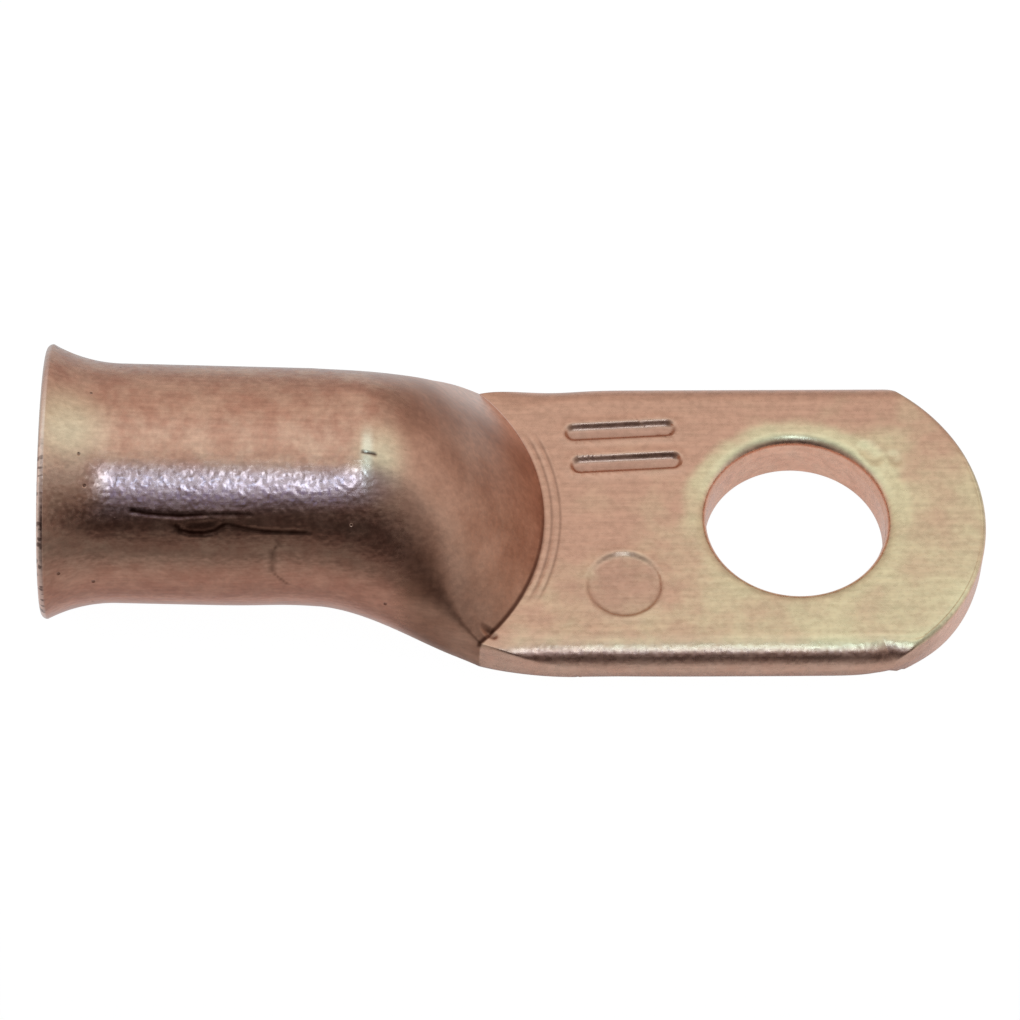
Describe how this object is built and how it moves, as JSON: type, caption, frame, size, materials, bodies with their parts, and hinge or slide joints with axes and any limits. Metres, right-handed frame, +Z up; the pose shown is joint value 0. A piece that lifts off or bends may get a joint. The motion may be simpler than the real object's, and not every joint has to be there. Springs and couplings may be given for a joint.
{
  "type": "copper cable lug",
  "caption": "Closed-end copper cable lug: belled tube for the cable, pressed flat into a palm with a stud hole.",
  "frame": {"origin": "centre of the stud hole on the palm's underside, the face that beds on the terminal", "axes": "+X towards the palm's tip, -X towards the cable, +Z up out of the palm, +Y across it"},
  "size_m": [0.0546, 0.0194, 0.0157],
  "materials": {
    "copper": null
  },
  "bodies": {
    "root": {"cable_lug": "copper"}
  },
  "joints": []
}
